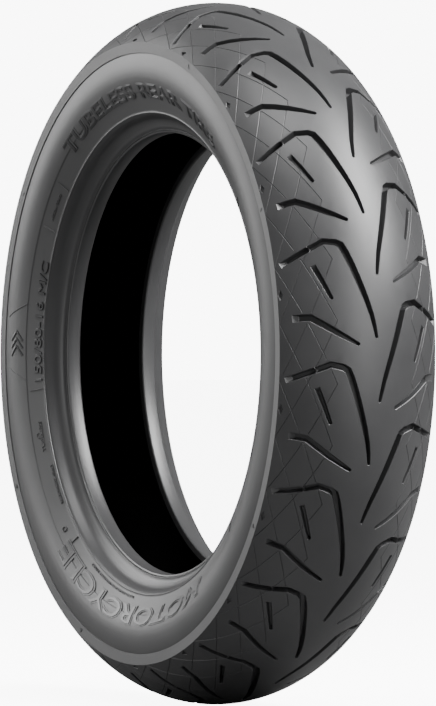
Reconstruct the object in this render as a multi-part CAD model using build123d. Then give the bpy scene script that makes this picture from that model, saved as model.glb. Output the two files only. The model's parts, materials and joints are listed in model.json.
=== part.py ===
from build123d import *
import math
import os

# A 150/80-16 rear motorcycle tyre, built up layer by layer. Lining, cord plies, belts, bead rings
# and rubber are separate solids that meet face to face, as they do once the tyre is cured.
# Millimetres and degrees. The wheel turns about +Y, +Z is up, the origin is the wheel's centre,
# and "left" is the side towards -Y.
# The section is drawn for the right half: a section point is (axial, radial) from the centre, and
# angles in the section run from the axial direction towards the outside of the tyre.

# ---------------------------------------------------------------- driving dimensions

OUTSIDE_DIAMETER = 646.4
SECTION_WIDTH = 156.8
RIM_SEAT_DIAMETER = 405.6
HEEL_SPACING = 95.4

# Tread, across
SHOULDER_DROP = 38.2
SHOULDER_INSET = 0.2
SHOULDER_BAND_HEIGHT = 9.9
BAND_FOOT_INSET = 0.9
TREAD_CAP_THICKNESS = 7.6
TREAD_BASE_THICKNESS = 1.6

# Cord layers
BELT_THICKNESS = 1.05
BELT_HALF_WIDTH = 62.0
BELT_STEP = 5.0
BELT_EDGE_STRIP_WIDTH = 7.0
PLY_THICKNESS = 0.9
LINER_THICKNESS = 1.4
OUTER_TURNUP_LENGTH = 27.0
INNER_TURNUP_LENGTH = 20.0

# Sidewall
SIDEWALL_RADIUS = 48.3
SIDEWALL_WIDEST_DROP = 61.2
SIDEWALL_GAUGE = 5.0
CARCASS_WIDEST_DROP = 65.0
RIM_LINE_HEIGHT = 17.9
RIM_LINE_OVERHANG = 15.0
RIM_LINE_RIB_WIDTH = 1.6
RIM_LINE_RIB_HEIGHT = 0.7

# Bead
BEAD_BASE_WIDTH = 15.0
BEAD_CORE_SPACE_RADIUS = 3.4
BEAD_CORE_DIAMETER = 5.2
BEAD_SEAT_COVER = 1.1
CHAFER_THICKNESS = 0.6
CHAFER_LENGTH = 8.0
FLANGE_RADIUS = 5.5
FLANGE_CENTRE_HEIGHT = 5.5
HEEL_RADIUS = 2.8
TOE_RADIUS = 1.8

# Tread pattern, moulded in equal pitches, with the right half turned on by half a pitch. A groove is
# a list of stations: (share of the pitch, distance from the centre line over the tread, width).
PITCH_COUNT = 18
GROOVE_DEPTH = 6.9
MAIN_GROOVE_SWEEP = [
    (0.13, 1.6, 2.8),
    (0.30, 6.0, 3.8),
    (0.50, 13.5, 4.9),
    (0.70, 21.3, 6.0),
    (0.8725, 28.4, 5.8),
    (0.893, 36.2, 5.4),
]
MAIN_GROOVE_ELBOW = [(0.885, 32.8, 5.3), (0.9125, 43.9, 5.5)]
MAIN_GROOVE_END = (0.77, 5.5)
MAIN_GROOVE_END_FROM_EDGE = 6.0
TIE_BAR_FROM_EDGE = 32.2
TIE_BAR_WIDTH = 2.2
TIE_BAR_GROOVE_DEPTH = 3.6
OUTER_GROOVE_DEPTH = 5.6
SIDE_GROOVE = [(0.075, 19.6, 3.0), (0.18, 40.6, 5.6), (0.30, 62.2, 6.0)]
SIDE_GROOVE_END = (0.295, 6.4)
SIDE_GROOVE_END_FROM_EDGE = 13.0
SLOT = [(0.445, 41.9, 3.2), (0.72, 55.3, 4.8)]
SLOT_DEPTH = 5.0
DIMPLE_PLACE = 0.51
DIMPLE_FROM_EDGE = 2.9
DIMPLE_LENGTH = 10.0
DIMPLE_WIDTH = 4.6
DIMPLE_DEPTH = 1.6

# ---------------------------------------------------------------- places in the section

outside_radius = OUTSIDE_DIAMETER / 2
seat_radius = RIM_SEAT_DIAMETER / 2
half_width = SECTION_WIDTH / 2
tread_edge_axial = half_width - SHOULDER_INSET

crown_radius = (tread_edge_axial**2 + SHOULDER_DROP**2) / (2 * SHOULDER_DROP)
crown_centre = (0.0, outside_radius - crown_radius)
tread_edge_angle = math.degrees(math.acos(tread_edge_axial / crown_radius))
tread_half_arc = crown_radius * math.radians(90 - tread_edge_angle)

cap_floor = crown_radius - TREAD_CAP_THICKNESS
base_floor = cap_floor - TREAD_BASE_THICKNESS
outer_belt_floor = base_floor - BELT_THICKNESS
carcass_radius = outer_belt_floor - BELT_THICKNESS

# The shoulder arc of the plies is tangent to their crown arc and is widest at the given drop.
carcass_half_width = half_width - SIDEWALL_GAUGE
carcass_widest_radius = outside_radius - CARCASS_WIDEST_DROP
carcass_rise = carcass_widest_radius - crown_centre[1]
shoulder_radius = (carcass_radius**2 - carcass_half_width**2 - carcass_rise**2) / (
    2 * (carcass_radius - carcass_half_width)
)
shoulder_centre = (carcass_half_width - shoulder_radius, carcass_widest_radius)
shoulder_angle = math.degrees(math.atan2(carcass_rise, shoulder_centre[0]))

heel_axial = HEEL_SPACING / 2
toe_axial = heel_axial - BEAD_BASE_WIDTH
ply_pair = 2 * PLY_THICKNESS
inside_of_bead = ply_pair + LINER_THICKNESS
bead_centre = (
    toe_axial + inside_of_bead + BEAD_CORE_SPACE_RADIUS,
    seat_radius + BEAD_SEAT_COVER + CHAFER_THICKNESS + ply_pair + BEAD_CORE_SPACE_RADIUS,
)

sidewall_centre = (half_width - SIDEWALL_RADIUS, outside_radius - SIDEWALL_WIDEST_DROP)
band_foot = (half_width - BAND_FOOT_INSET, outside_radius - SHOULDER_DROP - SHOULDER_BAND_HEIGHT)
rim_line = (heel_axial + RIM_LINE_OVERHANG, seat_radius + RIM_LINE_HEIGHT)


def polar(centre, radius, angle):
    """The point at this distance and angle from a section point."""
    turn = math.radians(angle)
    return (centre[0] + radius * math.cos(turn), centre[1] + radius * math.sin(turn))


def heading(start, end):
    return math.degrees(math.atan2(end[1] - start[1], end[0] - start[0]))


# The plies leave the shoulder arc on a straight line that is also tangent to the ring round the
# bead core. All the layers are parallel, so this one direction serves every layer.
bead_distance = math.dist(shoulder_centre, bead_centre)
crossing = math.degrees(math.acos((shoulder_radius + BEAD_CORE_SPACE_RADIUS) / bead_distance))
leave_angle = heading(shoulder_centre, bead_centre) + crossing

# The turned-up plies leave the bead ring on the line that also touches the shoulder arc from outside.
turnup_side = heading(bead_centre, shoulder_centre) - math.degrees(
    math.acos((BEAD_CORE_SPACE_RADIUS - shoulder_radius) / bead_distance)
)
turnup_heading = turnup_side + 90


def closed_face(*edges):
    return Plane.YZ * make_face(Wire(list(edges)))


def arc(centre, radius, start, end):
    return CenterArc(centre, radius, start, end - start)


def sector(centre, inner, outer, start, end):
    """A ring segment of the section between two radii and two angles."""
    return closed_face(
        arc(centre, outer, start, end),
        Line(polar(centre, outer, end), polar(centre, inner, end)),
        arc(centre, inner, end, start),
        Line(polar(centre, inner, start), polar(centre, outer, start)),
    )


def outline(points):
    return closed_face(*[Line(a, b) for a, b in zip(points, points[1:] + points[:1])])


def carcass_edges(inward, bead_end):
    """A line parallel to the plies' outside, from the crown's middle to an angle on the bead."""
    crown = carcass_radius - inward
    shoulder = shoulder_radius - inward
    ring = BEAD_CORE_SPACE_RADIUS + inward
    return [
        arc(crown_centre, crown, 90, shoulder_angle),
        arc(shoulder_centre, shoulder, shoulder_angle, leave_angle),
        Line(polar(shoulder_centre, shoulder, leave_angle), polar(bead_centre, ring, leave_angle + 180)),
        arc(bead_centre, ring, leave_angle + 180, bead_end),
    ]


def carcass_layer(outer_inward, inner_inward, bead_end):
    """The half layer between two such lines."""
    outer = carcass_edges(outer_inward, bead_end)
    inner = carcass_edges(inner_inward, bead_end)
    return closed_face(
        *outer, Line(outer[-1] @ 1, inner[-1] @ 1), *inner[::-1], Line(inner[0] @ 0, outer[0] @ 0)
    )


def turnup_layer(inside, outside, length):
    """The part of a layer that lies outboard of the bead, up to its cut edge."""
    near = [polar(bead_centre, inside, turnup_side), polar(bead_centre, outside, turnup_side)]
    far = [polar(point, length, turnup_heading) for point in near]
    return outline([near[0], near[1], far[1], far[0]])


def ply_half(layer, turnup_length):
    """One ply: down from the crown, round the bead core and up the outer side."""
    inside = BEAD_CORE_SPACE_RADIUS + layer * PLY_THICKNESS
    body = carcass_layer(layer * PLY_THICKNESS, (layer + 1) * PLY_THICKNESS, turnup_side + 360)
    return body + turnup_layer(inside, inside + PLY_THICKNESS, turnup_length)


# ---------------------------------------------------------------- the whole half section


def outer_profile():
    """The tyre's outside, from the crown's middle to the toe."""
    sidewall_start = math.degrees(math.asin((band_foot[1] - sidewall_centre[1]) / SIDEWALL_RADIUS))
    sidewall_end = heading(sidewall_centre, rim_line) + math.degrees(
        math.acos(SIDEWALL_RADIUS / math.dist(sidewall_centre, rim_line))
    )
    slope = sidewall_end - 90
    rib_out = slope + 90
    rib_start = polar(rim_line, RIM_LINE_RIB_WIDTH, slope + 180)
    rib = [
        rib_start,
        polar(polar(rib_start, RIM_LINE_RIB_WIDTH * 0.25, slope), RIM_LINE_RIB_HEIGHT, rib_out),
        polar(polar(rib_start, RIM_LINE_RIB_WIDTH * 0.75, slope), RIM_LINE_RIB_HEIGHT, rib_out),
        rim_line,
    ]
    flange_centre = (heel_axial + FLANGE_RADIUS, seat_radius + FLANGE_CENTRE_HEIGHT)
    flange_end = heading(flange_centre, rim_line) + math.degrees(
        math.acos(FLANGE_RADIUS / math.dist(flange_centre, rim_line))
    )
    heel_centre = (heel_axial - HEEL_RADIUS, seat_radius + HEEL_RADIUS)
    toe_centre = (toe_axial + TOE_RADIUS, seat_radius + TOE_RADIUS)
    return [
        arc(crown_centre, crown_radius, 90, tread_edge_angle),
        Line(polar(crown_centre, crown_radius, tread_edge_angle), band_foot),
        Line(band_foot, polar(sidewall_centre, SIDEWALL_RADIUS, sidewall_start)),
        arc(sidewall_centre, SIDEWALL_RADIUS, sidewall_start, sidewall_end),
        Line(polar(sidewall_centre, SIDEWALL_RADIUS, sidewall_end), rib[0]),
        Line(rib[0], rib[1]),
        Line(rib[1], rib[2]),
        Line(rib[2], rib[3]),
        Line(rim_line, polar(flange_centre, FLANGE_RADIUS, flange_end)),
        arc(flange_centre, FLANGE_RADIUS, flange_end, 180),
        Line((heel_axial, flange_centre[1]), (heel_axial, heel_centre[1])),
        arc(heel_centre, HEEL_RADIUS, 0, -90),
        Line((heel_centre[0], seat_radius), (toe_centre[0], seat_radius)),
        arc(toe_centre, TOE_RADIUS, 270, 180),
    ]


def half_section():
    cavity = carcass_edges(inside_of_bead, 180)
    toe_face = Line((toe_axial, seat_radius + TOE_RADIUS), cavity[-1] @ 1)
    return closed_face(
        *outer_profile(),
        toe_face,
        *cavity[::-1],
        Line(cavity[0] @ 0, (0.0, outside_radius)),
    )


# ---------------------------------------------------------------- masks that cut it into layers


def above(radius):
    """Everything in the right half that is further out than a radius."""
    wide = SECTION_WIDTH
    tall = OUTSIDE_DIAMETER
    return outline([(0, radius), (wide, radius), (wide, tall), (0, tall)])


def rim_side():
    """The bead end of the section, up to a cut across the sidewall at the rim line."""
    across = turnup_heading + 90
    far = SECTION_WIDTH
    ends = [polar(rim_line, far, across), polar(rim_line, -far, across)]
    return outline([*ends, *[polar(end, -far, turnup_heading) for end in ends[::-1]]])


def bead_core_face():
    return Plane.YZ * Pos(*bead_centre) * Circle(BEAD_CORE_DIAMETER / 2)


def bead_opening(reach):
    """The fan between the two lines that leave the bead ring, where the filler sits."""
    spread = [turnup_side, turnup_heading, leave_angle + 180]
    return [polar(bead_centre, reach, angle) for angle in spread]


def bead_wrap_mask():
    ring = Plane.YZ * Pos(*bead_centre) * Circle(BEAD_CORE_SPACE_RADIUS)
    return ring - outline([bead_centre, *bead_opening(4 * BEAD_CORE_SPACE_RADIUS)])


def filler_mask():
    """The wedge between a ply and its turned-up end, as far as the outer ply is turned up."""
    base = polar(bead_centre, BEAD_CORE_SPACE_RADIUS, turnup_side)
    tip = polar(base, OUTER_TURNUP_LENGTH, turnup_heading)
    inside = polar(tip, shoulder_radius, turnup_heading + 90)
    return outline([bead_centre, base, tip, inside, bead_opening(4 * BEAD_CORE_SPACE_RADIUS)[2]])


def chafer_mask():
    inside = BEAD_CORE_SPACE_RADIUS + ply_pair
    outside = inside + CHAFER_THICKNESS
    hook = sector(bead_centre, inside, outside, 180, turnup_side + 360)
    return hook + turnup_layer(inside, outside, CHAFER_LENGTH)


def crown_sector(inner, outer, half_arc):
    """A crown layer from the middle out to a distance along its inner face."""
    return sector(crown_centre, inner, outer, 90 - math.degrees(half_arc / inner), 90)


def belt_edge_sector():
    reach = math.degrees(BELT_EDGE_STRIP_WIDTH / carcass_radius)
    edge = 90 - math.degrees(BELT_HALF_WIDTH / carcass_radius)
    return sector(crown_centre, carcass_radius, base_floor, edge - reach, edge + reach)


def cut_section():
    """Cut the half section into its pieces in turn, so that neighbours share their edges."""
    base_half_arc = BELT_HALF_WIDTH + BELT_EDGE_STRIP_WIDTH + BELT_STEP
    masks = {
        "carcass_ply_outer": ply_half(0, OUTER_TURNUP_LENGTH),
        "carcass_ply_inner": ply_half(1, INNER_TURNUP_LENGTH),
        "inner_liner": carcass_layer(ply_pair, inside_of_bead, 180),
        "bead_core": bead_core_face(),
        "bead_wrap": bead_wrap_mask(),
        "bead_filler": filler_mask(),
        "chafer": chafer_mask(),
        "belt_inner": crown_sector(carcass_radius, outer_belt_floor, BELT_HALF_WIDTH),
        "belt_outer": crown_sector(outer_belt_floor, base_floor, BELT_HALF_WIDTH - BELT_STEP),
        "belt_edge_strip": belt_edge_sector(),
        "tread_base": crown_sector(carcass_radius, cap_floor, base_half_arc),
        "tread_cap": sector(crown_centre, cap_floor, crown_radius + 1, tread_edge_angle, 90),
        "shoulder_band": above(band_foot[1]),
        "rim_strip": rim_side(),
        "sidewall": above(0),
    }
    pieces = {}
    left_over = half_section()
    for name, mask in masks.items():
        pieces[name] = left_over & mask
        left_over = left_over - mask
    return pieces


# ---------------------------------------------------------------- tread pattern

pitch = 360 / PITCH_COUNT
LEFT, RIGHT = -1, 1


def tread_frame(share, distance, side):
    """A plane on the tread: x runs round the tyre, y across it, z straight out of the rubber."""
    turn = math.radians(pitch * (share + (0.5 if side == RIGHT else 0.0)))
    lean = distance / crown_radius
    radius = crown_centre[1] + crown_radius * math.cos(lean)
    place = (radius * math.cos(turn), side * crown_radius * math.sin(lean), radius * math.sin(turn))
    out = (math.cos(lean) * math.cos(turn), side * math.sin(lean), math.cos(lean) * math.sin(turn))
    return Plane(place, x_dir=(-math.sin(turn), 0, math.cos(turn)), z_dir=out)


def flat_stations(stations, frame, side):
    """The stations seen square on to the frame, as (x, y, width)."""
    flat = []
    for share, distance, width in stations:
        spot = frame.to_local_coords(tread_frame(share, distance, side).origin)
        flat.append((spot.X, spot.Y, width))
    return flat


def groove_outline(flat):
    """A ribbon through the stations, round at its start and square at its end."""
    legs = [heading(a, b) for a, b in zip(flat, flat[1:])]
    sides = {90: [], -90: []}
    for index, (x, y, width) in enumerate(flat):
        before = legs[max(index - 1, 0)]
        after = legs[min(index, len(legs) - 1)]
        mitre = math.cos(math.radians(after - before) / 2)
        for quarter, points in sides.items():
            points.append(polar((x, y), width / 2 / mitre, (before + after) / 2 + quarter))
    nose = polar(flat[0], -flat[0][2] / 2, legs[0])
    corners = [*sides[90], *sides[-90][::-1]]
    walls = [Line(a, b) for a, b in zip(corners, corners[1:])]
    return make_face(Wire([ThreePointArc(corners[-1], nose, corners[0]), *walls]))


def floor_ring(side, steps):
    """The ring of space over a stepped groove floor; a step is (from, to, depth)."""
    lift = GROOVE_DEPTH
    ring = []
    for start, end, depth in steps:
        angles = [90 - math.degrees(distance / crown_radius) for distance in (end, start)]
        ring.append(sector(crown_centre, crown_radius - depth, crown_radius + lift, *angles))
    face = ring[0].fuse(*ring[1:]) if len(ring) > 1 else ring[0]
    solid = revolve(face, Axis.Y)
    return solid if side == RIGHT else mirror(solid, about=Plane.XZ)


def cutter(face, frame, floor):
    """What one groove takes out of the tread: its outline, down to its floor."""
    block = extrude(frame * face, amount=4 * GROOVE_DEPTH, both=True)
    return block & floor


def pitch_cutters(side):
    edge = tread_half_arc
    bar = edge - TIE_BAR_FROM_EDGE
    deep = floor_ring(side, [(0.0, bar - TIE_BAR_WIDTH / 2, GROOVE_DEPTH)])
    stepped = floor_ring(
        side,
        [
            (0.0, bar - TIE_BAR_WIDTH / 2, GROOVE_DEPTH),
            (bar - TIE_BAR_WIDTH / 2, bar + TIE_BAR_WIDTH / 2, TIE_BAR_GROOVE_DEPTH),
            (bar + TIE_BAR_WIDTH / 2, edge, OUTER_GROOVE_DEPTH),
        ],
    )
    main_end = (MAIN_GROOVE_END[0], edge - MAIN_GROOVE_END_FROM_EDGE, MAIN_GROOVE_END[1])
    side_end = (SIDE_GROOVE_END[0], edge - SIDE_GROOVE_END_FROM_EDGE, SIDE_GROOVE_END[1])
    grooves = [
        (MAIN_GROOVE_SWEEP, deep),
        ([*MAIN_GROOVE_ELBOW, main_end], stepped),
        ([*SIDE_GROOVE, side_end], floor_ring(side, [(0.0, edge, OUTER_GROOVE_DEPTH)])),
        (SLOT, floor_ring(side, [(0.0, edge, SLOT_DEPTH)])),
    ]
    cutters = []
    for stations, floor in grooves:
        shares, distances, _ = zip(*stations)
        middle = ((shares[0] + shares[-1]) / 2, (distances[0] + distances[-1]) / 2)
        frame = tread_frame(*middle, side)
        cutters.append(cutter(groove_outline(flat_stations(stations, frame, side)), frame, floor))

    frame = tread_frame(DIMPLE_PLACE, edge - DIMPLE_FROM_EDGE, side)
    half_length, half_width_across = DIMPLE_LENGTH / 2, DIMPLE_WIDTH / 2
    corners = [(half_length, 0), (0, half_width_across), (-half_length, 0), (0, -half_width_across)]
    diamond = make_face(Polyline(*corners, close=True))
    cutters.append(cutter(diamond, frame, floor_ring(side, [(0.0, edge, DIMPLE_DEPTH)])))
    return cutters


def cut_tread(blank):
    """Repeat one pitch of grooves round the tyre and cut them all."""
    first = [*pitch_cutters(LEFT), *pitch_cutters(RIGHT)]
    cuts = [Rot(0, pitch * turn, 0) * cut for turn in range(PITCH_COUNT) for cut in first]
    return blank - cuts


# ---------------------------------------------------------------- build and write

both_sides = ["inner_liner", "carcass_ply_inner", "carcass_ply_outer", "belt_inner", "belt_outer"]
both_sides += ["tread_base", "tread_cap"]

nodes = {}
for name, half in cut_section().items():
    if name in both_sides:
        nodes[name] = revolve(half + mirror(half, about=Plane.XZ), Axis.Y)
    else:
        right = revolve(half, Axis.Y)
        nodes[name + "_right"] = right
        nodes[name + "_left"] = mirror(right, about=Plane.XZ)
nodes["tread_cap"] = cut_tread(nodes["tread_cap"])

os.makedirs("parts", exist_ok=True)
for name, solid in nodes.items():
    solid.label = name
    export_step(solid, f"parts/{name}.step")
    print(name, len(solid.solids()), round(solid.volume))
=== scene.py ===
import json
import math

import bmesh
import bpy
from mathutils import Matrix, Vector
from mathutils.geometry import delaunay_2d_cdt, intersect_point_line


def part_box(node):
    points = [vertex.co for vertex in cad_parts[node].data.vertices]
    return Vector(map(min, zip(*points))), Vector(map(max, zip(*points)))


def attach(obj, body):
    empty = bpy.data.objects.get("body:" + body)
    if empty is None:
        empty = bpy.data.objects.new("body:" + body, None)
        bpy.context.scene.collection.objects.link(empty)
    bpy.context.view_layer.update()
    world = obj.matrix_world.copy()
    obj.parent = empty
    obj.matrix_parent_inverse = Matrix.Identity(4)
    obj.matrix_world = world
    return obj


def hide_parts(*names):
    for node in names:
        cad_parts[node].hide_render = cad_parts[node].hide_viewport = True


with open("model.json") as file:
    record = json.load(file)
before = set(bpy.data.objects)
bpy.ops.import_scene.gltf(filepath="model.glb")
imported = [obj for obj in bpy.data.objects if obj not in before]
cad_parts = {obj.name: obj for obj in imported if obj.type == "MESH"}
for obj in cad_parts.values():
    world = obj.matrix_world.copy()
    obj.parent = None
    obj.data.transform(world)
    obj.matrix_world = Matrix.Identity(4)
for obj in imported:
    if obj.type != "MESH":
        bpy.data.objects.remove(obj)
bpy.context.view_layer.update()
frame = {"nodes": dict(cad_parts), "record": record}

# A rear motorcycle tire. The wheel turns about +Y and stands on its tread, +Z up.
# A section point is (axial, radial) in metres; "left" is the side towards -Y.
# A turn is an angle round the wheel in degrees, from +X towards +Z.

MM = 0.001

# ------------------------------------------------------------ section, from the frame

tread_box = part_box("tread_cap")
wall_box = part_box("sidewall_right")
seat_mount = next(m for m in frame["record"]["mounts"] if m["name"] == "bead_seat_right")

outside_radius = min(tread_box[1].x, tread_box[1].z)
tread_edge_axial = tread_box[1].y
half_width = wall_box[1].y
seat_radius = seat_mount["dims"]["r_mm"] * MM
toe_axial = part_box("rim_strip_right")[0].y
heel_axial = 47.7 * MM

shoulder_drop = 38.2 * MM
band_height = 9.9 * MM
crown_radius = (tread_edge_axial**2 + shoulder_drop**2) / (2 * shoulder_drop)
crown_centre = outside_radius - crown_radius
tread_edge_lean = math.asin(tread_edge_axial / crown_radius)
half_tread = crown_radius * tread_edge_lean
cap_thickness = 7.6 * MM

wall_arc = 48.3 * MM
wall_centre = Vector((half_width - wall_arc, outside_radius - 61.2 * MM))
band_foot = Vector((half_width - 0.9 * MM, outside_radius - shoulder_drop - band_height))
rim_line = Vector((heel_axial + 15.0 * MM, seat_radius + 17.9 * MM))
bead_centre = Vector((toe_axial + 6.6 * MM, seat_radius + 6.9 * MM))
bead_ring = 5.8 * MM

# Where the detailed pieces meet the layers inside them.
band_inner_axial = 69.7 * MM
carcass_centre = Vector((33.1 * MM, 258.2 * MM))
carcass_foot_angle = math.radians(-38.0)
rubber_foot = Vector((57.0 * MM, 225.5 * MM))
panel_edge_radius = 239.5 * MM

# Where the straight lower sidewall runs into the arc of its upper part.
to_rim = rim_line - wall_centre
wall_foot_angle = math.atan2(to_rim.y, to_rim.x) + math.acos(wall_arc / to_rim.length)
wall_straight = math.sqrt(to_rim.length**2 - wall_arc**2)
wall_top_angle = math.asin((band_foot.y - wall_centre.y) / wall_arc)
wall_length = wall_straight + wall_arc * (wall_top_angle - wall_foot_angle)

# ------------------------------------------------------------ tread pattern

PITCHES = 18
PITCH = 360.0 / PITCHES
COLUMNS = 16
ROWS = 22
UNDERSIDE_ROWS = 10
PITCH_LENGTH = 108.0 * MM

# A groove's stations are (share of the pitch, distance from the centre line, width), the last two in mm.
MAIN_GROOVE = [
    (0.13, 2.2, 2.6),
    (0.21, 3.9, 3.5),
    (0.30, 6.2, 4.1),
    (0.40, 9.7, 4.7),
    (0.50, 13.5, 5.2),
    (0.60, 17.4, 5.7),
    (0.70, 21.3, 6.1),
    (0.80, 25.4, 6.3),
    (0.866, 28.6, 6.0),
    (0.892, 32.8, 5.6),
    (0.9125, 43.9, 5.4),
    (0.865, 57.4, 5.4),
]
MAIN_GROOVE_OUTER = [(0.858, 59.6, 5.4), (0.815, 71.5, 5.3), (0.77, 84.2, 5.2)]
SIDE_GROOVE = [
    (0.075, 19.6, 3.0),
    (0.125, 29.9, 4.4),
    (0.18, 40.6, 5.4),
    (0.24, 51.4, 5.8),
    (0.295, 61.2, 6.0),
    (0.297, 68.5, 6.1),
    (0.295, 77.3, 6.2),
]
SLOT = [(0.445, 41.9, 3.2), (0.58, 48.5, 4.2), (0.72, 55.3, 4.8)]
DIMPLE = (0.51, 87.1, 10.0, 4.4)

# (station list, depth, how far the end wall leans in at the floor)
GROOVES = [
    (MAIN_GROOVE, 6.9, 0.6),
    (MAIN_GROOVE_OUTER, 5.6, 4.0),
    (SIDE_GROOVE, 5.6, 3.4),
    (SLOT, 5.0, 2.2),
]
EDGE_BREAK = 0.35
WALL_LEAN_IN = 0.55
FLOOR_LEAN_IN = 1.25
LATTICE_APEX = 38.0
LATTICE_SLOPE = 2.6
LATTICE_TURNS = (5.2, 15.2)
LATTICE_OUTER = 89.3
LATTICE_HALF_WIDTH = 0.45
LATTICE_DEPTH = 0.45
LATTICE_CLEAR = 1.0
GRID_CLEAR = 0.9


def flat_place(share, distance):
    """A place on one unrolled pitch: x along the pitch, y out from the centre line, in mm."""
    return Vector((share * PITCH_LENGTH / MM, distance))


def ribbon(stations, grow, pull_in):
    """The outline of a groove grown by an amount: round at its start, square at its end."""
    places = [flat_place(share, distance) for share, distance, _ in stations]
    widths = [max(width + 2 * grow, 0.42 * width) for _, _, width in stations]
    legs = [(b - a).normalized() for a, b in zip(places, places[1:])]
    places[-1] = places[-1] + legs[-1] * (grow - pull_in if grow < -0.1 else grow)
    left, right = [], []
    for index, (place, width) in enumerate(zip(places, widths)):
        before = legs[max(index - 1, 0)]
        after = legs[min(index, len(legs) - 1)]
        along = (before + after).normalized()
        across = Vector((-along.y, along.x)) * (width / 2 / along.dot(before))
        left.append(place + across)
        right.append(place - across)
    nose = []
    start, radius = places[0], widths[0] / 2
    heading = math.atan2(legs[0].y, legs[0].x)
    for step in range(1, 6):
        angle = heading - math.pi / 2 - math.pi * step / 6
        nose.append(start + Vector((math.cos(angle), math.sin(angle))) * radius)
    return [*nose, *left, *right[::-1]]


def diamond(grow):
    share, distance, length, width = DIMPLE
    centre = flat_place(share, distance)
    reach = Vector((length / 2 + grow * 2.2, 0)), Vector((0, width / 2 + grow))
    return [centre + reach[0], centre + reach[1], centre - reach[0], centre - reach[1]]


def groove_rings():
    """Every groove as nested outlines, each with its depth, from the land to the floor."""
    nests = []
    for stations, depth, pull_in in GROOVES:
        nests.append(
            [
                (ribbon(stations, EDGE_BREAK, 0), 0.0),
                (ribbon(stations, 0.0, 0), EDGE_BREAK),
                (ribbon(stations, -WALL_LEAN_IN, pull_in * 0.8), depth - 1.0),
                (ribbon(stations, -FLOOR_LEAN_IN, pull_in), depth),
            ]
        )
    nests.append([(diamond(0.3), 0.0), (diamond(0.0), 0.3), (diamond(-0.5), 1.5)])
    return nests


def inside(point, outline):
    hit = False
    for a, b in zip(outline, outline[1:] + outline[:1]):
        if (a.y > point.y) != (b.y > point.y):
            if point.x < (b.x - a.x) * (point.y - a.y) / (b.y - a.y) + a.x:
                hit = not hit
    return hit


def gap_to(point, outline):
    """How far a point is from the nearest side of an outline."""
    best = 1e9
    for a, b in zip(outline, outline[1:] + outline[:1]):
        spot, share = intersect_point_line(point, a, b)
        share = min(max(share, 0.0), 1.0)
        best = min(best, (point - (a + (b - a) * share)).length)
    return best


def clear_of_grooves(point, outlines, margin):
    return all(not inside(point, o) and gap_to(point, o) > margin for o in outlines)


def lattice_lines(outlines):
    """The fine moulded lines, cut where a groove comes near: a list of (start, end) runs."""
    runs = []
    end_x = PITCH_LENGTH / MM
    degree = end_x / PITCH
    rise = LATTICE_SLOPE / degree
    reach = (LATTICE_OUTER - LATTICE_APEX) / rise
    for apex_turn in LATTICE_TURNS:
        for lap in (-2, -1, 0, 1, 2):
            apex_x = (apex_turn + lap * PITCH) * degree
            for way in (-1, 1):
                low, high = sorted((apex_x, apex_x + way * reach))
                low, high = max(low, 0.0), min(high, end_x)
                if high - low < 3.0:
                    continue
                steps = max(int((high - low) / 0.6), 2)
                run = []
                for step in range(steps + 1):
                    x = low + (high - low) * step / steps
                    spot = Vector((x, LATTICE_APEX + rise * abs(x - apex_x)))
                    if clear_of_grooves(spot, outlines, LATTICE_CLEAR):
                        run.append(spot)
                        if step < steps:
                            continue
                    if len(run) > 5:
                        runs.append((run[0], run[-1]))
                    run = []
    return runs


def lattice_depth(point, runs):
    deepest = 0.0
    for start, end in runs:
        spot, share = intersect_point_line(point, start, end)
        if -0.001 <= share <= 1.001:
            away = (point - spot).length / LATTICE_HALF_WIDTH
            deepest = max(deepest, LATTICE_DEPTH * (1.0 - away))
    return deepest


def off_lattice(point, runs):
    return all((point - intersect_point_line(point, *run)[0]).length > GRID_CLEAR for run in runs)


def half_pitch():
    """Half of one pitch, unrolled: points with depths, and triangles."""
    end_x = PITCH_LENGTH / MM
    top_y = half_tread / MM
    nests = groove_rings()
    outlines = [nest[0][0] for nest in nests]
    runs = lattice_lines(outlines)
    points, edges, depths = [], [], {}

    def add_chain(chain, depth, closed):
        first = len(points)
        points.extend(chain)
        for offset in range(len(chain)):
            depths[first + offset] = depth
        count = len(chain)
        last = count if closed else count - 1
        edges.extend((first + i, first + (i + 1) % count) for i in range(last))

    for nest in nests:
        for outline, depth in nest:
            add_chain(outline, depth, True)
    for start, end in runs:
        along = (end - start).normalized()
        across = Vector((-along.y, along.x)) * LATTICE_HALF_WIDTH
        pieces = max(int((end - start).length / 6.0), 1)
        for side in (-1, 0, 1):
            chain = []
            for step in range(pieces + 1):
                spot = start + (end - start) * step / pieces + across * side
                for edge_x in (0.0, end_x):
                    starts_here = step == 0 and abs(start.x - edge_x) < 1e-6
                    ends_here = step == pieces and abs(end.x - edge_x) < 1e-6
                    if starts_here or ends_here:
                        spot = spot + along * ((edge_x - spot.x) / along.x)
                chain.append(spot)
            add_chain(chain, None, False)
    corners = [Vector((0, 0)), Vector((end_x, 0)), Vector((end_x, top_y)), Vector((0, top_y))]
    add_chain(corners, 0.0, True)
    for column in range(COLUMNS + 1):
        for row in range(ROWS + 1):
            spot = Vector((end_x * column / COLUMNS, top_y * row / ROWS))
            on_edge = column in (0, COLUMNS) or row in (0, ROWS)
            if on_edge or (clear_of_grooves(spot, outlines, GRID_CLEAR) and off_lattice(spot, runs)):
                points.append(spot)
    found = delaunay_2d_cdt(points, edges, [], 0, 1e-5, True)
    spots, faces, origins = found[0], found[2], found[3]
    result = []
    for spot, origin in zip(spots, origins):
        known = [depths[i] for i in origin if depths.get(i) is not None]
        result.append((spot, max(known) if known else lattice_depth(spot, runs)))
    return result, faces


def on_tread(turn, across, depth):
    """A point of the tread: angle round the wheel, distance over the tread, depth below it."""
    radius = crown_radius - depth
    lean = across / crown_radius
    out = crown_centre + radius * math.cos(lean)
    angle = math.radians(turn)
    return Vector((out * math.cos(angle), radius * math.sin(lean), out * math.sin(angle)))


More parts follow.
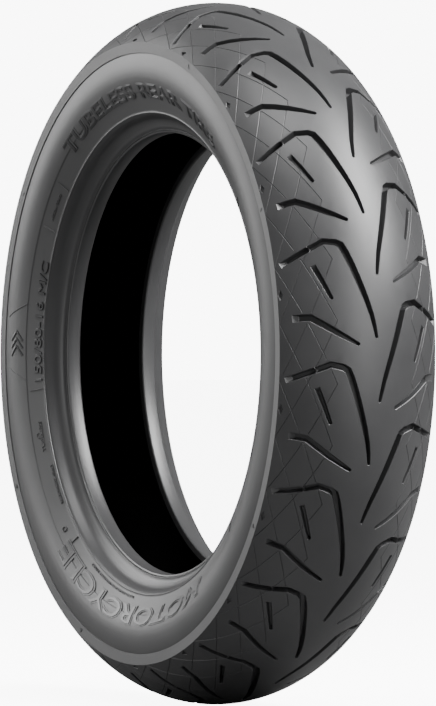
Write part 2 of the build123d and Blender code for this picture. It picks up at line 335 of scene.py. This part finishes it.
def pitch_mesh():
    """One whole pitch, closed underneath: the left half, and the right half half a pitch on."""
    spots, faces = half_pitch()
    verts, polys = [], []
    for side, start_turn in ((-1, 0.0), (1, PITCH / 2)):
        first = len(verts)
        for spot, depth in spots:
            turn = start_turn + spot.x / (PITCH_LENGTH / MM) * PITCH
            verts.append(on_tread(turn, side * spot.y * MM, depth * MM))
        flip = side > 0
        polys.extend([first + i for i in (face if flip else face[::-1])] for face in faces)
        under = len(verts)
        for row in range(UNDERSIDE_ROWS + 1):
            for column in range(COLUMNS + 1):
                turn = start_turn + PITCH * column / COLUMNS
                across = side * half_tread * row / UNDERSIDE_ROWS
                verts.append(on_tread(turn, across, cap_thickness))
        wide = COLUMNS + 1
        for column in range(COLUMNS):
            turn = start_turn + PITCH * column / COLUMNS
            for row in range(UNDERSIDE_ROWS):
                a = under + row * wide + column
                quad = [a, a + wide, a + wide + 1, a + 1]
                polys.append(quad if flip else quad[::-1])
            edge = len(verts)
            verts.append(on_tread(turn, side * half_tread, 0))
            verts.append(on_tread(turn + PITCH / COLUMNS, side * half_tread, 0))
            a = under + UNDERSIDE_ROWS * wide + column
            quad = [a, edge, edge + 1, a + 1]
            polys.append(quad if flip else quad[::-1])
    return verts, polys


# ------------------------------------------------------------ making meshes


def make_piece(name, verts, polys, material, sharp=30.0, weld=0.0):
    """A finished mesh object with its faces outwards and its crisp edges marked."""
    mesh = bpy.data.meshes.new(name)
    mesh.from_pydata([tuple(v) for v in verts], [], polys)
    tidy = bmesh.new()
    tidy.from_mesh(mesh)
    if weld:
        bmesh.ops.remove_doubles(tidy, verts=tidy.verts, dist=weld)
    bmesh.ops.recalc_face_normals(tidy, faces=tidy.faces)
    tidy.to_mesh(mesh)
    tidy.free()
    mesh.shade_smooth()
    mesh.set_sharp_from_angle(angle=math.radians(sharp))
    mesh.materials.append(material)
    piece = bpy.data.objects.new(name, mesh)
    bpy.context.collection.objects.link(piece)
    return piece


def place_piece(piece, slot, *nodes):
    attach(piece, "root")
    if nodes:
        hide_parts(*nodes)


def round_wheel(point, turn):
    angle = math.radians(turn)
    return Vector((point[1] * math.cos(angle), point[0], point[1] * math.sin(angle)))


def ring_mesh(loop, steps=288):
    """A closed section loop carried all the way round the wheel."""
    count = len(loop)
    verts = [round_wheel(point, 360.0 * step / steps) for step in range(steps) for point in loop]
    polys = []
    for step in range(steps):
        here, there = step * count, (step + 1) % steps * count
        for i in range(count):
            j = (i + 1) % count
            polys.append([here + i, here + j, there + j, there + i])
    return verts, polys


def smooth_run(points, pieces=4):
    """A soft curve through the points (Catmull-Rom)."""
    ends = [points[0] * 2 - points[1], *points, points[-1] * 2 - points[-2]]
    run = []
    for a, b, c, d in zip(ends, ends[1:], ends[2:], ends[3:]):
        for step in range(pieces):
            t = step / pieces
            bend = (2 * a - 5 * b + 4 * c - d) * t**2
            twist = (3 * b - a - 3 * c + d) * t**3
            run.append(0.5 * (2 * b + (c - a) * t + bend + twist))
    return [*run, points[-1]]


def arc_run(centre, radius, start, end, pieces):
    angles = [start + (end - start) * step / pieces for step in range(pieces + 1)]
    return [centre + Vector((math.cos(a), math.sin(a))) * radius for a in angles]


def wall_point(along, lift=0.0):
    """A point on the sidewall, a distance out from the rim line and a height above the rubber."""
    if along < wall_straight:
        out = Vector((math.cos(wall_foot_angle), math.sin(wall_foot_angle)))
        up = Vector((-out.y, out.x))
        return rim_line + up * along + out * lift
    angle = wall_foot_angle + (along - wall_straight) / wall_arc
    return wall_centre + Vector((math.cos(angle), math.sin(angle))) * (wall_arc + lift)


def along_at(radius):
    """How far out along the wall a radius lies."""
    height = (radius - wall_centre.y) / wall_arc
    if radius > wall_point(wall_straight).y:
        return wall_straight + wall_arc * (math.asin(height) - wall_foot_angle)
    return (radius - rim_line.y) / math.cos(wall_foot_angle)


def on_wall(side, turn, along, lift):
    point = wall_point(along, lift)
    return round_wheel((side * point.x, point.y), turn)


# ------------------------------------------------------------ rubber finishes

CLOUD_SCALE = 9.0
STREAK_SCALE = 420.0
PORE_SCALE = 1400.0
BUMP_HEIGHT = 0.4 * MM


def link(tree, source, target):
    tree.links.new(source, target)


def rubber(name, dark, light, rough, streak=0.0, grain=0.15):
    """Moulded rubber: two near blacks in soft clouds, mould streaks round the wheel, fine grain."""
    material = bpy.data.materials.new(name)
    material.use_nodes = True
    tree = material.node_tree
    shader = tree.nodes["Principled BSDF"]
    shader.inputs["IOR"].default_value = 1.5
    spot = tree.nodes.new("ShaderNodeTexCoord")

    clouds = tree.nodes.new("ShaderNodeTexNoise")
    clouds.inputs["Scale"].default_value = CLOUD_SCALE
    clouds.inputs["Detail"].default_value = 5.0
    clouds.inputs["Roughness"].default_value = 0.6
    link(tree, spot.outputs["Object"], clouds.inputs["Vector"])

    # Distance from the axle and along it, so that streaks run round the wheel.
    parts = tree.nodes.new("ShaderNodeSeparateXYZ")
    link(tree, spot.outputs["Object"], parts.inputs["Vector"])
    level = tree.nodes.new("ShaderNodeCombineXYZ")
    link(tree, parts.outputs["X"], level.inputs["X"])
    link(tree, parts.outputs["Z"], level.inputs["Z"])
    reach = tree.nodes.new("ShaderNodeVectorMath")
    reach.operation = "LENGTH"
    link(tree, level.outputs["Vector"], reach.inputs[0])
    round_spot = tree.nodes.new("ShaderNodeCombineXYZ")
    link(tree, reach.outputs["Value"], round_spot.inputs["X"])
    link(tree, parts.outputs["Y"], round_spot.inputs["Y"])
    streaks = tree.nodes.new("ShaderNodeTexNoise")
    streaks.inputs["Scale"].default_value = STREAK_SCALE
    streaks.inputs["Detail"].default_value = 3.0
    link(tree, round_spot.outputs["Vector"], streaks.inputs["Vector"])

    tone = tree.nodes.new("ShaderNodeMix")
    tone.data_type = "RGBA"
    tone.inputs[6].default_value = (*dark, 1.0)
    tone.inputs[7].default_value = (*light, 1.0)
    blend = tree.nodes.new("ShaderNodeMath")
    blend.operation = "MULTIPLY_ADD"
    blend.inputs[1].default_value = streak
    blend.use_clamp = True
    cloud_part = tree.nodes.new("ShaderNodeMapRange")
    cloud_part.inputs["From Min"].default_value = 0.35
    cloud_part.inputs["From Max"].default_value = 0.7
    cloud_part.inputs["To Max"].default_value = 1.0 - streak
    link(tree, clouds.outputs["Fac"], cloud_part.inputs["Value"])
    link(tree, streaks.outputs["Fac"], blend.inputs[0])
    link(tree, cloud_part.outputs["Result"], blend.inputs[2])
    link(tree, blend.outputs["Value"], tone.inputs["Factor"])
    link(tree, tone.outputs[2], shader.inputs["Base Color"])

    gloss = tree.nodes.new("ShaderNodeMapRange")
    gloss.inputs["To Min"].default_value = rough - 0.06
    gloss.inputs["To Max"].default_value = rough + 0.08
    link(tree, clouds.outputs["Fac"], gloss.inputs["Value"])
    link(tree, gloss.outputs["Result"], shader.inputs["Roughness"])

    pores = tree.nodes.new("ShaderNodeTexNoise")
    pores.inputs["Scale"].default_value = PORE_SCALE
    pores.inputs["Detail"].default_value = 2.0
    link(tree, spot.outputs["Object"], pores.inputs["Vector"])
    height = tree.nodes.new("ShaderNodeMath")
    height.operation = "MULTIPLY_ADD"
    height.inputs[1].default_value = 2.0 * streak
    link(tree, streaks.outputs["Fac"], height.inputs[0])
    link(tree, pores.outputs["Fac"], height.inputs[2])
    bump = tree.nodes.new("ShaderNodeBump")
    bump.inputs["Strength"].default_value = grain
    bump.inputs["Distance"].default_value = BUMP_HEIGHT
    link(tree, height.outputs["Value"], bump.inputs["Height"])
    link(tree, bump.outputs["Normal"], shader.inputs["Normal"])
    return material


def cord_cloth(name, dark, light, cords_round):
    """Rubberised cord: close parallel threads that cross the section at a bias."""
    material = rubber(name, dark, light, 0.62, streak=0.25, grain=0.3)
    tree = material.node_tree
    spot = tree.nodes["Texture Coordinate"]
    threads = tree.nodes.new("ShaderNodeTexWave")
    threads.inputs["Scale"].default_value = cords_round
    threads.inputs["Distortion"].default_value = 0.6
    link(tree, spot.outputs["Object"], threads.inputs["Vector"])
    bump = tree.nodes.new("ShaderNodeBump")
    bump.inputs["Strength"].default_value = 0.5
    bump.inputs["Distance"].default_value = BUMP_HEIGHT
    link(tree, threads.outputs["Fac"], bump.inputs["Height"])
    link(tree, bump.outputs["Normal"], tree.nodes["Bump"].inputs["Normal"])
    return material


def wire_steel(name):
    material = rubber(name, (0.30, 0.22, 0.12), (0.55, 0.44, 0.28), 0.32, streak=0.6, grain=0.4)
    material.node_tree.nodes["Principled BSDF"].inputs["Metallic"].default_value = 1.0
    return material


tread_rubber = rubber("tread rubber", (0.026, 0.026, 0.027), (0.038, 0.038, 0.039), 0.42, streak=0.1)
wall_rubber = rubber("sidewall rubber", (0.046, 0.046, 0.047), (0.062, 0.062, 0.063), 0.44, streak=0.35)
letter_rubber = rubber("lettering rubber", (0.016, 0.016, 0.017), (0.024, 0.024, 0.025), 0.34)
band_rubber = rubber("shoulder band rubber", (0.060, 0.060, 0.061), (0.078, 0.078, 0.079), 0.46, streak=0.2)
foot_rubber = rubber("rim foot rubber", (0.030, 0.030, 0.031), (0.044, 0.044, 0.045), 0.38, streak=0.3)
# The lining is coloured almost pure black and its reflection is nearly turned off: painted shade for the
# dark inside of the tire.
lining_rubber_painted_shade = rubber("lining rubber painted shade", (0.0010, 0.0010, 0.0010), (0.0022, 0.0022, 0.0022), 0.85, streak=0.2)
lining_rubber_painted_shade.node_tree.nodes["Principled BSDF"].inputs["Specular IOR Level"].default_value = 0.08
filler_rubber = rubber("filler rubber", (0.02, 0.02, 0.02), (0.04, 0.04, 0.04), 0.6)
ply_cord = cord_cloth("ply cord", (0.10, 0.095, 0.08), (0.20, 0.19, 0.16), 700.0)
belt_cord = cord_cloth("belt cord", (0.20, 0.16, 0.07), (0.38, 0.31, 0.14), 500.0)
chafer_cloth = cord_cloth("chafer cloth", (0.06, 0.06, 0.06), (0.12, 0.12, 0.12), 900.0)
bead_wire = wire_steel("bead wire")

# ------------------------------------------------------------ tread


def repeat_tree(material):
    """Geometry Nodes that copy one pitch round the axle, weld the copies and give them a finish."""
    tree = bpy.data.node_groups.new("pitches round the wheel", "GeometryNodeTree")
    tree.interface.new_socket("Geometry", in_out="INPUT", socket_type="NodeSocketGeometry")
    tree.interface.new_socket("Pitch Count", in_out="INPUT", socket_type="NodeSocketInt")
    tree.interface.new_socket("Weld Distance", in_out="INPUT", socket_type="NodeSocketFloat")
    tree.interface.new_socket("Geometry", in_out="OUTPUT", socket_type="NodeSocketGeometry")
    nodes = tree.nodes
    inputs = nodes.new("NodeGroupInput")
    outputs = nodes.new("NodeGroupOutput")
    spots = nodes.new("GeometryNodePoints")
    link(tree, inputs.outputs["Pitch Count"], spots.inputs["Count"])
    index = nodes.new("GeometryNodeInputIndex")
    share = nodes.new("ShaderNodeMath")
    share.operation = "DIVIDE"
    link(tree, index.outputs["Index"], share.inputs[0])
    link(tree, inputs.outputs["Pitch Count"], share.inputs[1])
    turn = nodes.new("ShaderNodeMath")
    turn.operation = "MULTIPLY"
    turn.inputs[1].default_value = math.tau
    link(tree, share.outputs["Value"], turn.inputs[0])
    about_axle = nodes.new("ShaderNodeCombineXYZ")
    link(tree, turn.outputs["Value"], about_axle.inputs["Y"])
    rotation = nodes.new("FunctionNodeEulerToRotation")
    link(tree, about_axle.outputs["Vector"], rotation.inputs["Euler"])
    copies = nodes.new("GeometryNodeInstanceOnPoints")
    link(tree, spots.outputs["Points"], copies.inputs["Points"])
    link(tree, inputs.outputs["Geometry"], copies.inputs["Instance"])
    link(tree, rotation.outputs["Rotation"], copies.inputs["Rotation"])
    real = nodes.new("GeometryNodeRealizeInstances")
    link(tree, copies.outputs["Instances"], real.inputs["Geometry"])
    weld = nodes.new("GeometryNodeMergeByDistance")
    link(tree, real.outputs["Geometry"], weld.inputs["Geometry"])
    link(tree, inputs.outputs["Weld Distance"], weld.inputs["Distance"])
    finish = nodes.new("GeometryNodeSetMaterial")
    finish.inputs["Material"].default_value = material
    link(tree, weld.outputs["Geometry"], finish.inputs["Geometry"])
    link(tree, finish.outputs["Geometry"], outputs.inputs["Geometry"])
    return tree


def make_tread():
    verts, polys = pitch_mesh()
    pitch = make_piece("tread_pitch", verts, polys, tread_rubber, weld=0.004 * MM)
    tree = repeat_tree(tread_rubber)
    modifier = pitch.modifiers.new("pitches", "NODES")
    modifier.node_group = tree
    sizes = {"Pitch Count": PITCHES, "Weld Distance": 0.01 * MM}
    for item in tree.interface.items_tree:
        if item.in_out == "INPUT" and item.name in sizes:
            modifier[item.identifier] = sizes[item.name]
    seen = pitch.evaluated_get(bpy.context.evaluated_depsgraph_get())
    mesh = bpy.data.meshes.new_from_object(seen)
    mesh.name = "tread"
    bpy.data.objects.remove(pitch)
    mesh.shade_smooth()
    mesh.set_sharp_from_angle(angle=math.radians(24.0))
    tread = bpy.data.objects.new("tread", mesh)
    bpy.context.collection.objects.link(tread)
    place_piece(tread, "tread_rubber", "tread_cap")


make_tread()

# ------------------------------------------------------------ shoulder bands, sidewalls, rim feet


def shoulder_loop():
    edge = Vector((tread_edge_axial, crown_centre + crown_radius * math.cos(tread_edge_lean)))
    down = (band_foot - edge).normalized()
    corner = [edge, edge + down * 0.5 * MM]
    foot = [band_foot - down * 0.8 * MM, band_foot - down * 0.25 * MM]
    inner = Vector((band_inner_axial, band_foot.y))
    lean = tread_edge_lean
    cap = crown_radius - cap_thickness
    cap_corner = Vector((cap * math.sin(lean), crown_centre + cap * math.cos(lean)))
    return [*corner, *foot, band_foot + Vector((-0.5 * MM, 0)), inner, cap_corner]


def wall_loop():
    """Outside from the rim line to the shoulder band, with its ribs, and back along the plies."""
    rib = [
        wall_point(0.0),
        wall_point(0.25 * MM, 0.55 * MM),
        wall_point(0.9 * MM, 0.6 * MM),
        wall_point(1.3 * MM, 0.05 * MM),
    ]
    count = 56
    alongs = [wall_length * step / count for step in range(2, count + 1)]
    outside = [wall_point(along, wall_relief(along)) for along in alongs]
    inside_top = Vector((band_inner_axial, band_foot.y))
    start = math.atan2(inside_top.y - carcass_centre.y, inside_top.x - carcass_centre.x)
    radius = (inside_top - carcass_centre).length
    back = arc_run(carcass_centre, radius, start, carcass_foot_angle, 24)
    return [*rib, *outside, *back, rubber_foot]


def wall_relief(along):
    """The outer band stands a little above the panel inside it, with a soft step."""
    step = (along - along_at(panel_edge_radius)) / (0.8 * MM)
    return -0.45 * MM * (1.0 - min(max(step + 0.5, 0.0), 1.0)) * min(along / (3.0 * MM), 1.0)


def foot_loop():
    """The rim foot: channel under the rim line, flange face, heel ribs, seat and toe."""
    channel = [
        rim_line,
        rim_line + Vector((-1.6, -1.4)) * MM,
        rim_line + Vector((-4.6, -3.1)) * MM,
        rim_line + Vector((-7.6, -4.6)) * MM,
    ]
    face = [
        rim_line + Vector((-9.2, -5.8)) * MM,
        rim_line + Vector((-10.9, -7.6)) * MM,
        rim_line + Vector((-12.6, -10.0)) * MM,
        rim_line + Vector((-13.9, -12.4)) * MM,
        Vector((heel_axial - 0.35 * MM, seat_radius + 3.9 * MM)),
    ]
    ribs = []
    for number in range(2):
        top = seat_radius + (3.4 - 1.3 * number) * MM
        inset = (0.45 + 0.75 * number) * MM
        ribs.append(Vector((heel_axial - inset - 0.45 * MM, top)))
        ribs.append(Vector((heel_axial - inset - 0.05 * MM, top - 0.25 * MM)))
        ribs.append(Vector((heel_axial - inset - 0.15 * MM, top - 0.75 * MM)))
    heel = [
        Vector((heel_axial - 2.0 * MM, seat_radius + 0.45 * MM)),
        Vector((heel_axial - 3.0 * MM, seat_radius + 0.02 * MM)),
    ]
    toe_turn = Vector((toe_axial + 1.8 * MM, seat_radius + 1.8 * MM))
    toe = arc_run(toe_turn, 1.8 * MM, -math.pi / 2, -math.pi, 6)
    ring = arc_run(bead_centre, bead_ring, math.pi, math.pi * 1.75, 14)
    back = [Vector((toe_axial, bead_centre.y)), *ring, rubber_foot]
    return [*smooth_run(channel), *smooth_run(face), *ribs, *heel, *toe, *back]


def mirrored(loop, side):
    return [Vector((side * point.x, point.y)) for point in loop]


for side, word in ((-1, "left"), (1, "right")):
    verts, polys = ring_mesh(mirrored(shoulder_loop(), side))
    band = make_piece("shoulder_band_" + word + "_ring", verts, polys, band_rubber)
    place_piece(band, "sidewall_rubber", "shoulder_band_" + word)
    verts, polys = ring_mesh(mirrored(wall_loop(), side))
    wall = make_piece("sidewall_" + word + "_ring", verts, polys, wall_rubber, sharp=22.0)
    place_piece(wall, "sidewall_rubber", "sidewall_" + word)
    verts, polys = ring_mesh(mirrored(foot_loop(), side))
    foot = make_piece("rim_foot_" + word + "_ring", verts, polys, foot_rubber, sharp=28.0)
    place_piece(foot, "rim_rubber", "rim_strip_" + word)

# ------------------------------------------------------------ moulded marks on the sidewalls

CAP_SHARE = 0.70
CELL_ALONG = 4.0 * MM
CELL_UP = 2.2 * MM
SUNK = 0.25 * MM


def cut_fine(mesh, pitch_x, pitch_y):
    """Cut a flat mesh into small cells, so that it can follow the wall."""
    cells = bmesh.new()
    cells.from_mesh(mesh)
    xs = [v.co.x for v in cells.verts]
    ys = [v.co.y for v in cells.verts]
    for axis, low, high, pitch in ((0, min(xs), max(xs), pitch_x), (1, min(ys), max(ys), pitch_y)):
        for step in range(1, int((high - low) / pitch) + 1):
            spot = Vector((0, 0, 0))
            spot[axis] = low + pitch * step
            across = Vector((0, 0, 0))
            across[axis] = 1.0
            everything = [*cells.verts, *cells.edges, *cells.faces]
            bmesh.ops.bisect_plane(cells, geom=everything, dist=1e-7, plane_co=spot, plane_no=across)
    cells.to_mesh(mesh)
    cells.free()


def text_mesh(words, height, length, raise_to, grow=0.0, bevel=0.15 * MM):
    """Raised letters lying flat: x along the line and centred, y up the letters, z out."""
    curve = bpy.data.curves.new("letters", "FONT")
    curve.body = words
    curve.size = height / CAP_SHARE
    curve.align_x = "CENTER"
    curve.resolution_u = 3
    curve.offset = grow
    curve.extrude = raise_to - bevel
    curve.bevel_depth = bevel
    curve.bevel_resolution = 0
    holder = bpy.data.objects.new("letters", curve)
    bpy.context.collection.objects.link(holder)
    seen = holder.evaluated_get(bpy.context.evaluated_depsgraph_get())
    mesh = bpy.data.meshes.new_from_object(seen)
    bpy.data.objects.remove(holder)
    low = min(v.co.x for v in mesh.vertices)
    high = max(v.co.x for v in mesh.vertices)
    for v in mesh.vertices:
        v.co.x = (v.co.x - (low + high) / 2) * length / (high - low)
        if v.co.z < 0:
            v.co.z = -SUNK
    cut_fine(mesh, CELL_ALONG, CELL_UP)
    return mesh


def lay_on_wall(name, mesh, side, turn, radius, middle, material):
    """Wrap a flat mesh on a sidewall, its foot at a radius, read clockwise from outside."""
    verts = []
    foot = along_at(radius)
    for v in mesh.vertices:
        seen_turn = turn - math.degrees(v.co.x / middle)
        real_turn = seen_turn if side < 0 else 180.0 - seen_turn
        verts.append(on_wall(side, real_turn, foot + v.co.y, v.co.z))
    polys = [list(polygon.vertices) for polygon in mesh.polygons]
    piece = make_piece(name, verts, polys, material, sharp=35.0)
    place_piece(piece, "sidewall_rubber")


def flat_strip(points, width, height):
    """A raised strip along a flat line of points, with a chamfered top."""
    verts, polys = [], []
    rise = [(-0.5, -SUNK), (-0.5, height * 0.4), (-0.25, height)]
    profile = [*rise, *((-u, z) for u, z in reversed(rise))]
    for index, point in enumerate(points):
        before, after = points[max(index - 1, 0)], points[min(index + 1, len(points) - 1)]
        along = (after - before).normalized()
        across = Vector((-along.y, along.x)) * width
        verts.extend([(*(point + across * u), z) for u, z in profile])
    wide = len(profile)
    for index in range(len(points) - 1):
        for k in range(wide):
            a, b = index * wide + k, index * wide + (k + 1) % wide
            polys.append([a, b, b + wide, a + wide])
    polys.append(list(range(wide)))
    polys.append(list(range(len(verts) - wide, len(verts)))[::-1])
    return verts, polys


def flat_mesh(name, shapes):
    """Several (vertices, polygons) shapes as one flat mesh."""
    verts, polys = [], []
    for shape_verts, shape_polys in shapes:
        first = len(verts)
        verts.extend(shape_verts)
        polys.extend([first + i for i in polygon] for polygon in shape_polys)
    mesh = bpy.data.meshes.new(name)
    mesh.from_pydata(verts, [], polys)
    return mesh


def straight(a, b, step=2.0 * MM):
    a, b = Vector(a), Vector(b)
    count = max(int((b - a).length / step), 1)
    return [a + (b - a) * i / count for i in range(count + 1)]


def ring_points(centre, radius, count=24):
    angles = [math.tau * i / count for i in range(count + 1)]
    return [Vector(centre) + Vector((math.cos(a), math.sin(a))) * radius for a in angles]


def wall_mark(name, side, turn, radius, shapes, material):
    lay_on_wall(name, flat_mesh(name, shapes), side, turn, radius, radius, material)


# (words, letter height, length, turn of the middle, foot radius, outline, relief), in mm and degrees
BIG_WORDS = [
    ("MOTORCYCLE", 17.5, 300.0, 264.5, 233.0, 1.3, 0.9),
    ("TUBELESS REAR TIRE", 13.5, 322.0, 90.0, 235.0, 1.0, 0.9),
    ("150/80-16 M/C", 8.0, 116.0, 172.0, 223.6, 0.0, 0.6),
]
# (words, letter height, length, turn of the middle, foot radius), in mm and degrees
SMALL_WORDS = [
    ("TUBELESS", 3.2, 30.0, 200.0, 228.2),
    ("REAR WHEEL ONLY", 2.6, 44.0, 213.0, 224.4),
    ("TREAD 4 PLIES AND SIDEWALL 2 PLIES", 2.4, 92.0, 252.0, 224.6),
    ("NYLON CORD", 2.6, 30.0, 143.0, 229.0),
    ("ROTATION", 3.4, 30.0, 22.0, 232.0),
    ("CROSSED PLIES", 2.6, 34.0, 340.0, 226.0),
]
PLATE_SHARE = 0.45
SMALL_RELIEF = 0.35 * MM
SMALL_BEVEL = 0.08 * MM

# Marks round the wheel, by turn.
TICKS = [137.0, 149.2, 188.6, 230.0, 318.0, 36.0]
TICK_RADIUS = 224.0 * MM
TICK_LENGTH = 14.0 * MM
LINE_WIDTH = 0.9 * MM
DOTS = [199.6, 225.3]
DOT_RADIUS = 230.0 * MM
WEAR_MARKS = [27.0, 67.0, 147.0, 207.0, 247.0, 327.0]

# The emblem panel; each of its edges is two (turn, height in mm) ends.
PANEL_TURN = 177.6
PANEL_RADIUS = 252.0 * MM
PANEL_EDGES = [((168.6, -13), (172.3, 14)), ((186.0, -13), (183.0, 12))]
CHEVRON_RADIUS = 251.0 * MM

flat_words = []
for words, height, length, turn, radius, outline, relief in BIG_WORDS:
    height, length, radius = height * MM, length * MM, radius * MM
    outline, relief = outline * MM, relief * MM
    middle = radius + height / 2
    letters = text_mesh(words, height, length, relief)
    flat_words.append((words, letters, turn, radius, middle, letter_rubber))
    if outline:
        plate = text_mesh(words, height, length + 2 * outline, relief * PLATE_SHARE, grow=outline)
        flat_words.append((words + " plate", plate, turn, radius, middle, wall_rubber))
for words, height, length, turn, radius in SMALL_WORDS:
    height, length, radius = height * MM, length * MM, radius * MM
    letters = text_mesh(words, height, length, SMALL_RELIEF, bevel=SMALL_BEVEL)
    flat_words.append((words, letters, turn, radius, radius + height / 2, wall_rubber))


def chevron_points(x):
    back, tip = x - 5 * MM, x + 4 * MM
    return [*straight((back, -8 * MM), (tip, 0)), *straight((tip, 0), (back, 8 * MM))[1:]]


def panel_spot(turn, height):
    """A flat place on the emblem panel."""
    return PANEL_RADIUS * math.radians(PANEL_TURN - turn), height * MM


def band_mark(name, side, turn):
    """A small raised triangle on the shoulder band that points at a wear bar in the tread."""
    top = Vector((tread_edge_axial, outside_radius - shoulder_drop))
    down = (band_foot - top).normalized()
    out = Vector((-down.y, down.x))
    verts = []
    for lift in (-0.3 * MM, 0.45 * MM):
        for across, drop in ((-2.0, 6.6), (2.0, 6.6), (0.0, 2.6)):
            point = top + down * drop * MM + out * lift
            spot = round_wheel((side * point.x, point.y), turn + math.degrees(across * MM / point.y))
            verts.append(spot)
    polys = [(0, 1, 2), (3, 5, 4), (0, 3, 4, 1), (1, 4, 5, 2), (2, 5, 3, 0)]
    place_piece(make_piece(name, verts, polys, letter_rubber), "sidewall_rubber")


for side, word in ((-1, "left"), (1, "right")):
    for words, mesh, turn, radius, middle, finish in flat_words:
        plain = "".join(c if c.isalnum() else "_" for c in words.lower())
        lay_on_wall("moulded_" + plain + "_" + word, mesh, side, turn, radius, middle, finish)
    for number, turn in enumerate(TICKS):
        tick = flat_strip(straight((0, 0), (0, TICK_LENGTH)), LINE_WIDTH, 0.45 * MM)
        wall_mark("tick_%d_%s" % (number, word), side, turn, TICK_RADIUS, [tick], band_rubber)
    for number, turn in enumerate(WEAR_MARKS):
        band_mark("wear_mark_%d_%s" % (number, word), side, turn)
    for number, turn in enumerate(DOTS):
        dot = flat_strip(ring_points((0, 2.6 * MM), 2.4 * MM), 0.7 * MM, 0.4 * MM)
        wall_mark("dot_%d_%s" % (number, word), side, turn, DOT_RADIUS, [dot], wall_rubber)
    chevrons = []
    for step in range(3):
        x = (-7.0 + 7.0 * step) * MM
        chevrons.append(flat_strip(chevron_points(x), 2.6 * MM, 0.7 * MM))
    wall_mark("chevrons_" + word, side, PANEL_TURN, CHEVRON_RADIUS, chevrons, letter_rubber)
    slants = []
    for low, high in PANEL_EDGES:
        run = straight(panel_spot(*low), panel_spot(*high))
        slants.append(flat_strip(run, LINE_WIDTH, 0.6 * MM))
    wall_mark("panel_edges_" + word, side, PANEL_TURN, PANEL_RADIUS, slants, band_rubber)

# ------------------------------------------------------------ inner layers keep their CAD shape

CAD_FINISH = {
    "inner_liner": lining_rubber_painted_shade,
    "carcass_ply": ply_cord,
    "belt_inner": belt_cord,
    "belt_outer": belt_cord,
    "belt_edge": filler_rubber,
    "tread_base": tread_rubber,
    "bead_core": bead_wire,
    "bead_wrap": filler_rubber,
    "bead_filler": filler_rubber,
    "chafer": chafer_cloth,
}
for node, piece in frame["nodes"].items():
    for start, finish in CAD_FINISH.items():
        if node.startswith(start):
            for material_slot in piece.material_slots:
                material_slot.material = finish

# ------------------------------------------------------------ floor, light and camera


FILL_STRENGTH = 0.24
BACKDROP_STRENGTH = 9.0
FLOOR_REACH = 60.0
FLOOR_GLOW = 8.0
FLOOR_TONE = (0.80, 0.80, 0.80, 1.0)
FLOOR_BOUNCE = (0.16, 0.16, 0.16, 1.0)


def pale_floor():
    """A floor as bright as the backdrop to the camera, which lights the tire less than it looks."""
    material = bpy.data.materials.new("pale floor")
    material.use_nodes = True
    tree = material.node_tree
    shader = tree.nodes["Principled BSDF"]
    shader.inputs["Roughness"].default_value = 0.9
    shader.inputs["Emission Color"].default_value = (1.0, 1.0, 1.0, 1.0)
    seen = tree.nodes.new("ShaderNodeLightPath")
    glow = tree.nodes.new("ShaderNodeMath")
    glow.operation = "MULTIPLY"
    glow.inputs[1].default_value = FLOOR_GLOW
    link(tree, seen.outputs["Is Camera Ray"], glow.inputs[0])
    link(tree, glow.outputs["Value"], shader.inputs["Emission Strength"])
    shade = tree.nodes.new("ShaderNodeMix")
    shade.data_type = "RGBA"
    shade.inputs[6].default_value = FLOOR_BOUNCE
    shade.inputs[7].default_value = FLOOR_TONE
    link(tree, seen.outputs["Is Camera Ray"], shade.inputs["Factor"])
    link(tree, shade.outputs[2], shader.inputs["Base Color"])
    return material


floor_level = -outside_radius - 0.0002
corners = [(-1, -1), (1, -1), (1, 1), (-1, 1)]
floor_spots = [(x * FLOOR_REACH, y * FLOOR_REACH, floor_level) for x, y in corners]
floor_mesh = bpy.data.meshes.new("floor")
floor_mesh.from_pydata(floor_spots, [], [(0, 1, 2, 3)])
floor_mesh.materials.append(pale_floor())
floor = bpy.data.objects.new("floor", floor_mesh)
bpy.context.collection.objects.link(floor)

world = bpy.data.worlds.new("studio")
world.use_nodes = True
studio = world.node_tree
ray = studio.nodes.new("ShaderNodeLightPath")
glow = studio.nodes.new("ShaderNodeMapRange")
glow.inputs["To Min"].default_value = FILL_STRENGTH
glow.inputs["To Max"].default_value = BACKDROP_STRENGTH
link(studio, ray.outputs["Is Camera Ray"], glow.inputs["Value"])
link(studio, glow.outputs["Result"], studio.nodes["Background"].inputs["Strength"])
studio.nodes["Background"].inputs["Color"].default_value = (1.0, 1.0, 1.0, 1.0)
bpy.context.scene.world = world


def soft_light(name, azimuth, elevation, distance, size, power):
    """A rectangular softbox that faces the wheel's centre; azimuth as for the camera."""
    data = bpy.data.lights.new(name, "AREA")
    data.shape = "RECTANGLE"
    data.size, data.size_y = size
    data.energy = power
    light = bpy.data.objects.new(name, data)
    a, e = math.radians(azimuth), math.radians(elevation)
    back = Vector((math.sin(a) * math.cos(e), -math.cos(a) * math.cos(e), math.sin(e)))
    light.location = back * distance
    light.rotation_mode = "QUATERNION"
    light.rotation_quaternion = back.to_track_quat("Z", "Y")
    bpy.context.collection.objects.link(light)


soft_light("key_box", 128, 44, 2.4, (1.1, 1.5), 190.0)
soft_light("top_box", 40, 70, 2.6, (1.6, 1.2), 55.0)
soft_light("tread_box", 100, 8, 2.8, (0.9, 2.2), 38.0)
soft_light("wall_box", -58, 24, 2.6, (1.3, 1.9), 62.0)
soft_light("wall_fill", -15, 0, 3.0, (1.2, 1.6), 20.0)

CAMERA_AZIMUTH = 62.65
CAMERA_DISTANCE = 5.5
camera_data = bpy.data.cameras.new("camera")
camera_data.lens = 304.2
camera_data.sensor_width = 36.0
camera_data.shift_x = 0.0123
camera_data.shift_y = 0.0009
camera_data.clip_end = 200.0
camera = bpy.data.objects.new("camera", camera_data)
angle = math.radians(CAMERA_AZIMUTH)
away = Vector((math.sin(angle), -math.cos(angle), 0.0))
camera.location = away * CAMERA_DISTANCE
camera.rotation_mode = "QUATERNION"
camera.rotation_quaternion = away.to_track_quat("Z", "Y")
bpy.context.collection.objects.link(camera)
bpy.context.scene.camera = camera
